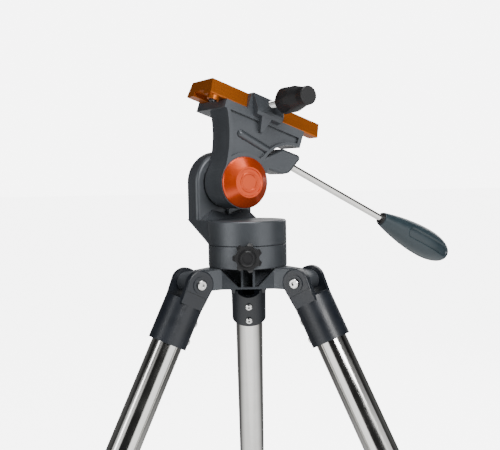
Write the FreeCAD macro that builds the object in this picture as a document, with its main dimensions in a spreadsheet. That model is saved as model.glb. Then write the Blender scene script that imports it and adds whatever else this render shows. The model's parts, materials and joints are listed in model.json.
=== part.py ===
"""Altazimuth telescope mount head on its folding tripod.

Every sub-part is an object of one parametric document. Its sizes are bound to the cells of the sheet "dims".
Lengths are millimetres and angles are degrees. The origin is on the azimuth axis at floor level, with +Z up.
Pieces of the tripod top and of the yoke are drawn from the height of the leg pivots.
"""
import FreeCAD, Part
import math
import os
import Sketcher
from FreeCAD import Placement, Rotation, Vector

doc = FreeCAD.newDocument("mount")
sheet = doc.addObject("Spreadsheet::Sheet", "dims")

X_AXIS, Y_AXIS, Z_AXIS = Vector(1, 0, 0), Vector(0, 1, 0), Vector(0, 0, 1)
LEG_ANGLES = (90, 210, 330)     # plan angle of each leg, from +X towards +Y


# ---------------------------------------------------------------- driving dimensions

CELLS = {
    # pose at rest
    "head_turn": 30, "sight_tilt": 19, "leg_tilt": 26.6,
    # tripod top and drum
    "pivot_radius": 66.2, "drum_radius": 41.6, "drum_bottom": 13.3, "hub_top": 36.5, "yoke_bottom": 36.9,
    "drum_top": 61.8, "hub_floor": -8, "deck_thick": 7.4, "wall_thick": 4.2, "hub_boss_radius": 17,
    "web_reach": 62, "nut_floor": 4, "nut_well": 13, "arm_width": 27, "arm_tip_drop": 10.5,
    "bearing_inner": 22, "bearing_outer": 33, "bearing_depth": 2, "rim_bevel": 0.4,
    "window_low": 10, "window_high": 28.5, "window_floor": 14, "window_lip": 2, "window_rib": 2.4,
    "window_rib_place": 6,
    # azimuth spindle and lock
    "spindle_radius": 10, "run_gap": 0.06, "face_gap": 0.3, "slip_gap": 0.03, "spindle_top": 52,
    "spindle_end_radius": 6, "spindle_end": -7.5, "lock_height": 26.4, "lock_radius": 15,
    "lock_depth": 17, "lock_grip": 9, "lock_stud_radius": 4,
    # yoke
    "axis_height": 101.2, "yoke_front": 43, "yoke_back": 68, "yoke_mid": -3, "yoke_half": 34.5,
    "yoke_foot": 60.8, "yoke_round": 4, "cradle_radius": 34, "yoke_recess": 29, "yoke_recess_depth": 3,
    "yoke_boss": 18, "back_panel_inset": 6, "back_panel_depth": 4,
    # altitude axle
    "axle_radius": 6, "axle_front": 8.5, "axle_head_radius": 10, "axle_head_thick": 5, "bush_radius": 9,
    "nut_width": 18, "nut_thick": 8,
    # altitude head
    "head_front": 3.2, "head_back": 41.8, "head_hub": 28, "web_top": 72.5, "web_left": -46.7, "web_right": 55,
    "web_right_low": 57.5, "neck_bend": 130, "throat_bend": 37, "panel_depth": 3.5, "panel_inset": 4.5,
    "nut_pocket": 16, "nut_pocket_floor": 20, "plate_low": 67.6, "plate_high": 76.5, "plate_back": 70,
    "lip_high": 90, "jaw_front": -6, "jaw_high": 94, "jaw_left": -20.5, "jaw_right": 21, "jaw_slope": 7.5,
    "jaw_slant": 11, "jaw_foot": 8, "rib_left": -18.4, "rib_high": 48.3, "rib_right": 18.7, "rib_low": 42.5,
    "rib_radius": 4.7, "rib_sunk": 1.4, "gusset_left": -6, "gusset_tip": 1.7, "gusset_right": 8.5,
    "gusset_low": 57, "cap_radius": 27.2, "cap_height": 10.5, "cap_ring": 16.2, "lug_front": 7, "lug_back": 38,
    # dovetail bar
    "bar_left": -65, "bar_right": 76, "bar_low": 76.8, "bar_high": 93.5, "bar_front": 6.8, "bar_back": 63.8,
    "bar_flank": 4.5, "bar_foot": 1.5, "channel_front": 24, "channel_back": 47, "channel_depth": 5,
    "tap_radius": 2.55, "tap_spacing": 70, "stop_radius": 6.5, "stop_place": -57, "stop_drop": 4.4,
    "stop_screw_radius": 2.5,
    # dovetail clamp
    "clamp_place": 4, "clamp_height": 88.2, "clamp_tilt": 3, "clamp_stud_radius": 4, "clamp_start": 27,
    "clamp_length": 50, "clamp_radius": 14.6,
    # pan handle
    "rod_radius": 4, "rod_depth": 22.5, "rod_along": 69.9, "rod_height": 37.5, "rod_slope": 7.3,
    "rod_buried": 26, "rod_length": 137.5, "grip_length": 115, "grip_radius": 18.4, "grip_neck": 8.4,
    # legs
    "tube_radius": 15.875, "tube_wall": 1.2, "inner_radius": 12.7, "bracket_length": 65.6,
    "barrel_radius": 20, "barrel_top": -19, "fork_half": 21.2, "fork_gap": 14.3, "ear_radius": 14.5,
    "ear_foot": -23.6, "ear_narrow": 12.2, "bolt_radius": 4, "bolt_head_radius": 4.8,
    "screw_high": 37.5, "screw_low": 57,
    "tube_start": 24, "tube_end": 520, "collar_start": 468, "collar_end": 540, "collar_radius": 20.5,
    "knob_place": 528, "knob_radius": 11, "inner_start": 215, "leg_length": 604, "foot_ball": 17,
    "sole_cut": 1.5, "foot_top": 575,
}

for row, (word, number) in enumerate(CELLS.items(), start=1):
    sheet.set(f"A{row}", word)
    sheet.set(f"B{row}", str(number))
    sheet.setAlias(f"B{row}", word)


class Size:
    """A number from the sheet, or worked out from it, together with the expression that gives it."""

    def __init__(self, number, text):
        self.number = float(number)
        self.text = text

    def __add__(self, other):
        return Size(self.number + number(other), f"({self.text} + {text(other)})")

    def __radd__(self, other):
        return Size(number(other) + self.number, f"({text(other)} + {self.text})")

    def __sub__(self, other):
        return Size(self.number - number(other), f"({self.text} - {text(other)})")

    def __rsub__(self, other):
        return Size(number(other) - self.number, f"({text(other)} - {self.text})")

    def __mul__(self, other):
        return Size(self.number * number(other), f"({self.text} * {text(other)})")

    __rmul__ = __mul__

    def __truediv__(self, other):
        return Size(self.number / number(other), f"({self.text} / {text(other)})")

    def __neg__(self):
        return Size(-self.number, f"(0 - {self.text})")


def number(value):
    return value.number if isinstance(value, Size) else float(value)


def text(value):
    return value.text if isinstance(value, Size) else f"({float(value)})"


def cosine(angle):
    return Size(math.cos(math.radians(angle.number)), f"cos({angle.text} * 1 deg)")


def sine(angle):
    return Size(math.sin(math.radians(angle.number)), f"sin({angle.text} * 1 deg)")


def root(value):
    return Size(math.sqrt(value.number), f"sqrt({value.text})")


d = {word: Size(number, f"dims.{word}") for word, number in CELLS.items()}


# ---------------------------------------------------------------- document helpers

def bind(thing, **sizes):
    """Binds each named property of a document object to its size's expression."""
    for name, size in sizes.items():
        thing.setExpression(name, text(size))


def new_body(label):
    body = doc.addObject("PartDesign::Body", label)
    body.Label = label
    return body


def origin_item(body, role):
    return next(item for item in body.Origin.OriginFeatures if item.Role == role)


def new_sketch(body, plane, lift=0):
    """An empty sketch on one of the body's origin planes, moved along the plane's normal by lift."""
    sketch = body.newObject("Sketcher::SketchObject", f"{body.Name}_sketch")
    sketch.AttachmentSupport = (origin_item(body, plane), [""])
    sketch.MapMode = "FlatFace"
    if number(lift):
        sketch.AttachmentOffset = Placement(Vector(0, 0, number(lift)), Rotation())
        sketch.setExpression("AttachmentOffset.Base.z", text(lift))
    return sketch


def hold(sketch, kind, *place_and_size):
    """Adds a dimension to the sketch and binds it to its size."""
    *place, size = place_and_size
    index = sketch.addConstraint(Sketcher.Constraint(kind, *place, number(size)))
    sketch.setExpression(f"Constraints[{index}]", text(size))


def arc_between(start, end, radius, side):
    """The short arc from start to end. Its centre is left of the way from start to end if side is 1."""
    chord = end - start
    middle = (start + end) * 0.5
    normal = Vector(-chord.y, chord.x, 0).normalize()
    rise = math.sqrt(max(radius ** 2 - (chord.Length / 2) ** 2, 0))
    centre = middle + normal * rise * side
    first, last = (start, end) if side > 0 else (end, start)
    turns = [math.atan2(point.y - centre.y, point.x - centre.x) for point in (first, last)]
    return Part.ArcOfCircle(Part.Circle(centre, Z_AXIS, radius), *turns)


def draw_outline(sketch, corners):
    """Closed outline. A corner is (x, y), or (x, y, radius, side) where an arc leads to the next corner."""
    count = len(corners)
    points = [Vector(number(corner[0]), number(corner[1]), 0) for corner in corners]
    edges = []
    for index, corner in enumerate(corners):
        start, end = points[index], points[(index + 1) % count]
        if len(corner) == 4:
            shape = arc_between(start, end, number(corner[2]), corner[3])
            ends = (1, 2) if corner[3] > 0 else (2, 1)
        else:
            shape = Part.LineSegment(start, end)
            ends = (1, 2)
        edges.append((sketch.addGeometry(shape, False), ends))
    for index, (edge, ends) in enumerate(edges):
        following, following_ends = edges[(index + 1) % count]
        sketch.addConstraint(
            Sketcher.Constraint("Coincident", edge, ends[1], following, following_ends[0]))
    for (edge, ends), corner in zip(edges, corners):
        hold(sketch, "DistanceX", -1, 1, edge, ends[0], corner[0])
        hold(sketch, "DistanceY", -1, 1, edge, ends[0], corner[1])
        if len(corner) == 4:
            hold(sketch, "Radius", edge, corner[2])


def draw_circle(sketch, x, y, radius):
    circle = Part.Circle(Vector(number(x), number(y), 0), Z_AXIS, number(radius))
    edge = sketch.addGeometry(circle, False)
    hold(sketch, "DistanceX", -1, 1, edge, 3, x)
    hold(sketch, "DistanceY", -1, 1, edge, 3, y)
    hold(sketch, "Radius", edge, radius)


def outline(body, plane, corners, lift=0):
    sketch = new_sketch(body, plane, lift)
    draw_outline(sketch, corners)
    return sketch


def circle(body, plane, x, y, radius, lift=0):
    sketch = new_sketch(body, plane, lift)
    draw_circle(sketch, x, y, radius)
    return sketch


def settle(body, feature):
    """Makes a new feature the body's tip, and stops the build if it has not worked."""
    body.Tip = feature
    doc.recompute()
    if "Invalid" in feature.State or "Error" in feature.State:
        raise RuntimeError(f"{body.Label}: {feature.Name} has failed")
    return feature


def extrude(kind, body, sketch, length, both=False, back=False):
    """Pad or Pocket of a sketch; both spreads it evenly about the sketch, back turns it round."""
    feature = body.newObject(f"PartDesign::{kind}", f"{body.Name}_{kind.lower()}")
    feature.Profile = sketch
    feature.Length = number(length)
    bind(feature, Length=length)
    feature.SideType = "Symmetric" if both else "One side"
    feature.Reversed = back
    return settle(body, feature)


def pad(body, sketch, length, **options):
    return extrude("Pad", body, sketch, length, **options)


def pocket(body, sketch, length, **options):
    """A pocket that has to take material away."""
    before = body.Shape.Volume
    feature = extrude("Pocket", body, sketch, length, **options)
    if body.Shape.Volume > before - 0.1:
        raise RuntimeError(f"{body.Label}: a pocket cuts nothing")
    return feature


def pad_between(body, plane, corners, low, high):
    """Pads an outline along its plane's normal, from low to high."""
    return pad(body, outline(body, plane, corners, low), high - low)


def turn(body, corners, kind="Revolution"):
    """Turns a (radius, height) outline about the body's Z axis."""
    sketch = outline(body, "XZ_Plane", corners)
    feature = body.newObject(f"PartDesign::{kind}", f"{body.Name}_turned")
    feature.Profile = sketch
    feature.ReferenceAxis = (sketch, ["V_Axis"])
    feature.Angle = 360
    return settle(body, feature)


def around(body, features, count):
    """Repeats features evenly about the body's Z axis."""
    pattern = body.newObject("PartDesign::PolarPattern", f"{body.Name}_pattern")
    pattern.Originals = features
    pattern.Axis = (origin_item(body, "Z_Axis"), [""])
    pattern.Angle = 360
    pattern.Occurrences = count
    return settle(body, pattern)


def loft(body, sections, ruled=True):
    feature = body.newObject("PartDesign::AdditiveLoft", f"{body.Name}_loft")
    feature.Profile = sections[0]
    feature.Sections = sections[1:]
    feature.Ruled = ruled
    return settle(body, feature)


def dress(kind, body, size, wanted):
    """Fillet or Chamfer of every edge of the body that wanted() accepts."""
    base = body.Tip
    names = [f"Edge{index}" for index, edge in enumerate(base.Shape.Edges, start=1) if wanted(edge)]
    if not names:
        raise RuntimeError(f"{body.Label}: no edge to round")
    feature = body.newObject(f"PartDesign::{kind}", f"{body.Name}_{kind.lower()}")
    feature.Base = (base, names)
    bind(feature, **{"Radius" if kind == "Fillet" else "Size": size})
    return settle(body, feature)


def rounded(body, radius, wanted):
    return dress("Fillet", body, radius, wanted)


def bore(body, radius, length, place):
    """A round hole of the given length, from place along its own Z."""
    before = body.Shape.Volume
    feature = body.newObject("PartDesign::SubtractiveCylinder", f"{body.Name}_bore")
    feature.Placement = place
    bind(feature, Radius=radius, Height=length)
    settle(body, feature)
    if body.Shape.Volume > before - 0.1:
        raise RuntimeError(f"{body.Label}: a bore cuts nothing")
    return feature


def group(label, members):
    """Several like solids that share one node."""
    compound = doc.addObject("Part::Compound", label)
    compound.Label = label
    compound.Links = members
    return compound


def on_plane(axis, value, slack=0.01):
    """Test for edges that lie wholly in the plane where axis ("x", "y" or "z") equals value."""
    def wanted(edge):
        box = edge.BoundBox
        low, high = getattr(box, axis.upper() + "Min"), getattr(box, axis.upper() + "Max")
        return abs(low - number(value)) < slack and abs(high - number(value)) < slack
    return wanted


def rectangle(x_low, x_high, y_low, y_high):
    return [(x_low, y_low), (x_high, y_low), (x_high, y_high), (x_low, y_high)]


def hexagon(width):
    """Corners of a hexagon of the given width across flats."""
    reach = width / math.sqrt(3)
    return [(reach * math.cos(math.radians(60 * side)), reach * math.sin(math.radians(60 * side)))
            for side in range(6)]


# ---------------------------------------------------------------- places

pivot_height = d["leg_length"] * cosine(d["leg_tilt"]) + d["foot_ball"] - d["sole_cut"]
BASE = Placement(Vector(0, 0, pivot_height.number), Rotation())
YOKE = BASE.multiply(Placement(Vector(), Rotation(Z_AXIS, d["head_turn"].number)))
AXLE = YOKE.multiply(Placement(Vector(0, 0, d["axis_height"].number), Rotation()))
HEAD = AXLE.multiply(Placement(Vector(), Rotation(Y_AXIS, d["sight_tilt"].number)))
TOWARDS_CAMERA = Rotation(X_AXIS, 90)      # turns a piece's own Z to -Y


def leg_place(angle):
    """Leg frame: origin at its pivot, X along the hinge, Z up along the leg, Y outwards."""
    turned = math.radians(angle)
    radius = d["pivot_radius"].number
    foot = Vector(radius * math.cos(turned), radius * math.sin(turned), pivot_height.number)
    return Placement(foot, Rotation(Z_AXIS, angle - 90) * Rotation(X_AXIS, d["leg_tilt"].number))


def across(place, y, rotation=TOWARDS_CAMERA):
    """A place on the altitude axis at depth y, its own Z along rotation."""
    return place.multiply(Placement(Vector(0, y, 0), rotation))


# ---------------------------------------------------------------- tripod top

def make_tripod_hub():
    """Lower drum on a three-sided web with an arm at each corner, and a bearing groove on top."""
    body = new_body("tripod_hub")
    bore_radius = d["spindle_radius"] + d["run_gap"]
    ceiling = d["hub_top"] - d["deck_thick"]
    inside = d["drum_radius"] - d["wall_thick"]
    groove = d["hub_top"] - d["bearing_depth"]
    turn(body, [
        (bore_radius, d["nut_floor"]), (d["nut_well"], d["nut_floor"]),
        (d["nut_well"], d["hub_floor"]), (d["hub_boss_radius"], d["hub_floor"]),
        (d["hub_boss_radius"], ceiling), (inside, ceiling), (inside, d["drum_bottom"]),
        (d["drum_radius"] - 1, d["drum_bottom"]), (d["drum_radius"], d["drum_bottom"] + 1),
        (d["drum_radius"], d["hub_top"] - d["rim_bevel"]), (d["drum_radius"] - d["rim_bevel"], d["hub_top"]),
        (d["bearing_outer"], d["hub_top"]), (d["bearing_outer"], groove),
        (d["bearing_inner"], groove), (d["bearing_inner"], d["hub_top"]), (bore_radius, d["hub_top"])])
    web = [(d["web_reach"] * math.cos(math.radians(angle)), d["web_reach"] * math.sin(math.radians(angle)))
           for angle in LEG_ANGLES]
    pad_between(body, "XY_Plane", web, d["hub_floor"], d["drum_bottom"])
    bore(body, d["nut_well"], d["nut_floor"] - d["hub_floor"],
         Placement(Vector(0, 0, d["hub_floor"].number), Rotation()))
    bore(body, bore_radius, d["hub_top"] - d["hub_floor"],
         Placement(Vector(0, 0, d["hub_floor"].number), Rotation()))
    start = d["hub_boss_radius"] - 3
    side = outline(body, "YZ_Plane", [
        (start, d["hub_floor"]), (d["pivot_radius"], d["hub_floor"]), (d["pivot_radius"], d["arm_tip_drop"]),
        (inside + 2, d["drum_bottom"]), (inside + 2, ceiling + 1), (start, ceiling + 1)])
    arm = pad(body, side, d["arm_width"], both=True)
    knuckle = pad(body, circle(body, "YZ_Plane", d["pivot_radius"], 0, d["arm_tip_drop"]),
                  d["arm_width"], both=True)
    hole = pocket(body, circle(body, "YZ_Plane", d["pivot_radius"], 0, d["bolt_radius"] + d["slip_gap"]),
                  d["arm_width"] + 2, both=True)
    around(body, [arm, knuckle, hole], 3)
    windows = [pocket(body, outline(body, "XZ_Plane", corners, d["window_floor"]),
                      d["pivot_radius"] / 2, back=True) for corners in window_outlines()]
    around(body, windows, 3)
    boss = pad(body, circle(body, "XZ_Plane", 0, d["lock_height"], d["lock_stud_radius"] * 1.7,
                            d["hub_boss_radius"] - 2), inside - d["hub_boss_radius"] + 4)
    body.Tip = boss
    bore(body, d["lock_stud_radius"] + d["run_gap"], d["drum_radius"],
         Placement(Vector(0, 0, d["lock_height"].number), TOWARDS_CAMERA))
    body.Placement = BASE
    return body


def window_outlines():
    """The V between two arms, in three windows with an upright rib between each two."""
    low, high = d["hub_floor"] + d["window_lip"], d["drum_bottom"]
    rib_in = d["window_rib_place"] - d["window_rib"] / 2
    rib_out = d["window_rib_place"] + d["window_rib"] / 2
    side = [(rib_out, low), (d["window_low"], low), (d["window_high"], high), (rib_out, high)]
    return [side, [(-x, y) for x, y in reversed(side)], rectangle(-rib_in, rib_in, low, high)]


def make_bearing_ring():
    body = new_body("azimuth_bearing_ring")
    bottom = d["hub_top"] - d["bearing_depth"]
    turn(body, rectangle(d["bearing_inner"] + d["slip_gap"] * 5, d["bearing_outer"] - d["slip_gap"] * 5,
                         bottom, d["yoke_bottom"] - d["face_gap"]))
    body.Placement = BASE
    return body


def make_lock_knob():
    """Seven-lobed azimuth lock knob; its own Z points out from the drum."""
    body = new_body("azimuth_lock_knob")
    depth, radius = d["lock_depth"], d["lock_radius"]
    hub = radius * 0.52
    hole = d["lock_stud_radius"] + d["slip_gap"]
    turn(body, [(hole, 0), (hub, 0), (radius - 3, 2), (radius, 4), (radius, depth - 7),
                (radius - 2.5, depth - 4.5), (hub + 1, depth - 4.5), (hub, depth - 1),
                (hub - 1, depth), (0, depth), (0, d["lock_grip"]), (hole, d["lock_grip"])])
    scallop = pocket(body, circle(body, "XY_Plane", radius * 1.12, 0, radius * 0.34), depth - 1, back=True)
    around(body, [scallop], 7)
    pocket(body, circle(body, "XY_Plane", 0, 0, hub - 2.4, depth), 1)
    body.Placement = BASE.multiply(Placement(
        Vector(0, -d["drum_radius"].number - 1.2, d["lock_height"].number), TOWARDS_CAMERA))
    return body


def make_lock_stud():
    body = new_body("azimuth_lock_stud")
    tip = d["spindle_radius"] + d["run_gap"] * 5
    turn(body, rectangle(0, d["lock_stud_radius"], tip, d["drum_radius"] + 1.1 + d["lock_grip"]))
    body.Placement = BASE.multiply(Placement(Vector(0, 0, d["lock_height"].number), TOWARDS_CAMERA))
    return body


def make_spindle():
    """Azimuth spindle, pressed into the yoke and turning in the tripod top."""
    body = new_body("azimuth_spindle")
    shoulder = d["nut_floor"] - 0.4
    turn(body, [(0, d["spindle_end"]), (d["spindle_end_radius"] - 1, d["spindle_end"]),
                (d["spindle_end_radius"], d["spindle_end"] + 1), (d["spindle_end_radius"], shoulder),
                (d["spindle_radius"], shoulder), (d["spindle_radius"], d["spindle_top"]),
                (0, d["spindle_top"])])
    body.Placement = YOKE
    return body


def make_spindle_washer():
    body = new_body("azimuth_washer")
    top = d["nut_floor"] - 0.4
    turn(body, rectangle(d["spindle_end_radius"] + d["slip_gap"], d["nut_well"] - 1, top - 1.6, top))
    body.Placement = YOKE
    return body


def make_nut(label, width, thick, hole, place):
    """Plain hexagon nut, its bottom face on its own XY plane."""
    body = new_body(label)
    pad(body, outline(body, "XY_Plane", hexagon(width)), thick)
    pocket(body, circle(body, "XY_Plane", 0, 0, hole), thick, back=True)
    body.Placement = place
    return body


# ---------------------------------------------------------------- yoke

def make_yoke():
    """Upper drum and single fork arm in one casting."""
    body = new_body("yoke")
    left, right = d["yoke_mid"] - d["yoke_half"], d["yoke_mid"] + d["yoke_half"]
    half, axis = d["yoke_half"], d["axis_height"]
    thick = d["yoke_back"] - d["yoke_front"]
    arm = outline(body, "XZ_Plane", [
        (left, d["yoke_foot"]), (left, axis, half, -1), (d["yoke_mid"], axis + half, half, -1),
        (right, axis), (right, d["yoke_foot"])], -d["yoke_front"])
    pad(body, arm, thick, back=True)
    rounded(body, d["yoke_round"], lambda edge: edge.BoundBox.ZMax > number(d["yoke_foot"]) + 1
            and (on_plane("y", d["yoke_front"])(edge) or on_plane("y", d["yoke_back"])(edge)))
    loft(body, [drum_section(body), arm_section(body, left, right)])
    loft(body, ramp_sections(body, right))
    well = d["spindle_radius"] + d["slip_gap"]
    turn(body, [(0, d["spindle_top"] + 0.5), (well, d["spindle_top"] + 0.5), (well, d["yoke_bottom"]),
                (d["drum_radius"] - d["rim_bevel"], d["yoke_bottom"]),
                (d["drum_radius"], d["yoke_bottom"] + d["rim_bevel"]),
                (d["drum_radius"], d["drum_top"] - 1.2), (d["drum_radius"] - 1.2, d["drum_top"]),
                (0, d["drum_top"])])
    bore(body, well, d["spindle_top"] + 0.5 - d["yoke_bottom"],
         Placement(Vector(0, 0, d["yoke_bottom"].number), Rotation()))
    pocket(body, circle(body, "XZ_Plane", 0, axis, d["cradle_radius"], -d["yoke_front"]),
           d["drum_radius"], back=True)
    recess = new_sketch(body, "XZ_Plane", -d["yoke_front"])
    draw_circle(recess, 0, axis, d["yoke_recess"])
    draw_circle(recess, 0, axis, d["yoke_boss"])
    pocket(body, recess, d["yoke_recess_depth"])
    rib = rectangle(-1.2, 1.2, axis - d["cradle_radius"] - 0.5, axis - 28.6)
    pad(body, outline(body, "XZ_Plane", rib, -d["yoke_front"]), 6)
    bore(body, d["axle_radius"] + d["slip_gap"], thick + 2,
         Placement(Vector(0, d["yoke_front"].number - 1, axis.number), Rotation(X_AXIS, -90)))
    bore(body, d["axle_head_radius"] + 1, d["axle_head_thick"] + 2,
         Placement(Vector(0, d["yoke_back"].number - d["axle_head_thick"].number - 1, axis.number),
                   Rotation(X_AXIS, -90)))
    panel = new_sketch(body, "XZ_Plane", -d["yoke_back"])
    inset = d["back_panel_inset"]
    draw_outline(panel, [
        (left + inset, d["drum_top"] + 2), (left + inset, axis, half - inset, -1),
        (d["yoke_mid"], axis + half - inset, half - inset, -1), (right - inset, axis),
        (right - inset, d["drum_top"] + 2)])
    draw_circle(panel, 0, axis, d["yoke_boss"])
    pocket(body, panel, d["back_panel_depth"], back=True)
    body.Placement = YOKE
    return body


def drum_section(body):
    """The drum's rim at the seam, in four arcs that face the four sides of the arm's foot."""
    radius = d["drum_radius"] - 0.05
    turns = (150, 200, 340, 395)
    return outline(body, "XY_Plane", [
        (radius * math.cos(math.radians(angle)), radius * math.sin(math.radians(angle)), radius, 1)
        for angle in turns], d["yoke_bottom"])


def arm_section(body, left, right):
    inner = d["drum_radius"] * 0.1
    return outline(body, "XY_Plane", [
        (left, d["yoke_back"]), (left, inner), (right, inner), (right, d["yoke_back"])],
        d["yoke_foot"] + 0.6)


def ramp_sections(body, right):
    """The slope from the drum's top up to the arm, under the altitude hub."""
    foot = rectangle(d["yoke_mid"] - d["yoke_half"] + 1, right - 1,
                     d["yoke_front"] - 15, d["yoke_front"] + 1)
    head = rectangle(-d["cradle_radius"] * 0.56, d["cradle_radius"] * 0.7,
                     d["yoke_front"] - 2.5, d["yoke_front"] + 1)
    return [outline(body, "XY_Plane", foot, d["yoke_foot"] - 1),
            outline(body, "XY_Plane", head, d["drum_top"] + 9.5)]


def make_axle():
    """Altitude axle: a bolt from the back of the arm; its own Z points to the head's front."""
    body = new_body("altitude_axle")
    seat = d["axle_head_thick"] + 1
    length = d["yoke_back"] - d["axle_front"]
    turn(body, [(0, 1), (d["axle_head_radius"] - 1, 1),
                (d["axle_head_radius"], 2), (d["axle_head_radius"], seat),
                (d["axle_radius"], seat), (d["axle_radius"], length - 1), (d["axle_radius"] - 1, length),
                (0, length)])
    pocket(body, outline(body, "XY_Plane", hexagon(d["axle_radius"] * 1.4), 1), 3,
           back=True)
    body.Placement = across(AXLE, d["yoke_back"].number)
    return body


def make_friction_washer():
    body = new_body("friction_washer")
    turn(body, rectangle(d["axle_radius"] + d["slip_gap"], d["yoke_boss"] - 1, 0,
                         d["yoke_front"] - d["head_back"] - d["face_gap"]))
    body.Placement = across(AXLE, d["yoke_front"].number)
    return body


def make_axle_washer():
    body = new_body("altitude_washer")
    turn(body, rectangle(d["axle_radius"] + d["slip_gap"], d["nut_pocket"] - 3, 0, 1.4))
    body.Placement = across(AXLE, d["nut_pocket_floor"].number - d["face_gap"].number)
    return body


# ---------------------------------------------------------------- altitude head

def web_outline(inset):
    """Side view of the web: wide saddle on top, waist at the left, hollow throat at the right."""
    neck, throat = d["neck_bend"] - inset, d["throat_bend"] + inset
    return [
        (d["web_left"] + inset * 1.6, d["web_top"] - inset), (d["web_right"] - inset, d["web_top"] - inset),
        (d["web_right"] - inset, d["web_right_low"] + inset * 0.75, throat, 1),
        (16 - inset * 0.45, 30 + inset * 1.1)], neck


def make_head():
    """Altitude head: hub, web, saddle plate with its lip and jaw, and the lug for the pan handle."""
    body = new_body("altitude_head")
    depth = d["head_back"] - d["head_front"]
    hub = d["head_hub"]
    add_lug(body)
    web, neck = web_outline(0)
    web += [(hub * 0.5, hub * 0.86), (-hub, 0), (-hub * 0.955, hub * 0.4, neck, 1)]
    pad(body, outline(body, "XZ_Plane", web, -d["head_front"]), depth, back=True)
    pad(body, circle(body, "XZ_Plane", 0, 0, hub, -d["head_front"]), depth, back=True)
    for front in (True, False):
        recess_web(body, front)
    add_diagonal_rib(body)
    pad_between(body, "XY_Plane", rectangle(d["web_left"], d["web_right"], d["head_front"], d["plate_back"]),
                d["plate_low"], d["plate_high"])
    add_lip(body)
    add_gusset(body)
    add_jaw(body)
    front_hole = Placement(Vector(0, d["head_front"].number - 1, 0), Rotation(X_AXIS, -90))
    bore(body, d["bush_radius"] + d["slip_gap"], depth + 2, front_hole)
    bore(body, d["nut_pocket"], d["nut_pocket_floor"] - d["head_front"] + 1, front_hole)
    bore(body, d["rod_radius"] + d["run_gap"], d["rod_buried"] + 40, rod_place(-d["rod_buried"].number))
    bore(body, d["clamp_stud_radius"] + d["run_gap"], 30, clamp_place(-8))
    body.Placement = HEAD
    return body


def add_lug(body):
    """The leaf-shaped lug that takes the pan handle."""
    corners = [(8, 20), (26, 41), (37.5, 50.8), (64.4, 50.8), (53.5, 28), (46, 24), (26, 23), (20, 10)]
    front, back = d["lug_front"], d["lug_back"]
    pad(body, outline(body, "XZ_Plane", corners, -front), back - front,
        back=True)
    rounded(body, 4, lambda edge: not on_plane("y", front)(edge)
            and not on_plane("y", back)(edge) and edge.BoundBox.XMax > d["head_hub"].number + 1)
    rounded(body, 3, lambda edge: (on_plane("y", front)(edge) or on_plane("y", back)(edge))
            and edge.BoundBox.XMax > d["head_hub"].number + 1)


def recess_web(body, front):
    """The sunk panel on one side of the web, with a raised border."""
    inset = d["panel_inset"]
    corners, neck = web_outline(inset)
    ring = d["head_hub"] + 3.5
    corners += [(ring * 0.33, ring * 0.944, ring, 1), (-ring * 0.745, ring * 0.667, neck, 1)]
    lift = d["head_front"] if front else d["head_back"]
    pocket(body, outline(body, "XZ_Plane", corners, -lift), d["panel_depth"], back=not front)


def add_diagonal_rib(body):
    """The half-round rib that runs down across the front panel, with a ball end."""
    sunk = d["head_front"] + d["panel_depth"] + d["rib_sunk"]
    start = Vector(d["rib_left"].number, sunk.number, d["rib_high"].number)
    way = Vector(d["rib_right"].number, sunk.number, d["rib_low"].number) - start
    rib = body.newObject("PartDesign::AdditiveCylinder", "rib")
    rib.Placement = Placement(start, Rotation(Z_AXIS, way))
    bind(rib, Radius=d["rib_radius"], Height=way.Length)
    settle(body, rib)
    ball = body.newObject("PartDesign::AdditiveSphere", "rib_end")
    ball.Placement = Placement(start, Rotation())
    bind(ball, Radius=d["rib_radius"])
    settle(body, ball)


def flank_at(height, edge, way):
    """Depth of the dovetail's flank at a height, from its depth at the bar's foot."""
    foot = d["bar_low"] + d["bar_foot"]
    slope = d["bar_flank"] / (d["bar_high"] - foot)
    return edge + way * slope * (height - foot)


def add_lip(body):
    """Fixed lip behind the bar, undercut to its flank."""
    gap = d["face_gap"]
    corners = [(flank_at(d["plate_high"] - 1, d["bar_back"] + gap, -1), d["plate_high"] - 1),
               (d["plate_back"], d["plate_high"] - 1), (d["plate_back"], d["lip_high"]),
               (flank_at(d["lip_high"], d["bar_back"] + gap, -1), d["lip_high"])]
    pad_between(body, "YZ_Plane", corners, d["web_left"], d["web_right"])


def add_gusset(body):
    """Three-sided gusset that runs from the web up to the jaw."""
    top = d["plate_low"] + d["jaw_foot"]
    front, root_depth = d["jaw_front"] + 1, d["head_front"] - 0.6
    left, right, low = d["gusset_left"], d["gusset_right"], d["gusset_low"]
    face = [(left, top), (d["gusset_tip"], low), (d["gusset_tip"] + 3, low), (right, top)]
    pad(body, outline(body, "XZ_Plane", face, -d["head_front"] - 4), d["head_front"] + 4 - front)
    wedge = [(front, top), (root_depth, low), (root_depth, low - 1), (front - 1, low - 1), (front - 1, top)]
    pocket(body, outline(body, "YZ_Plane", wedge), (right - left) * 2, both=True)


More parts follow.
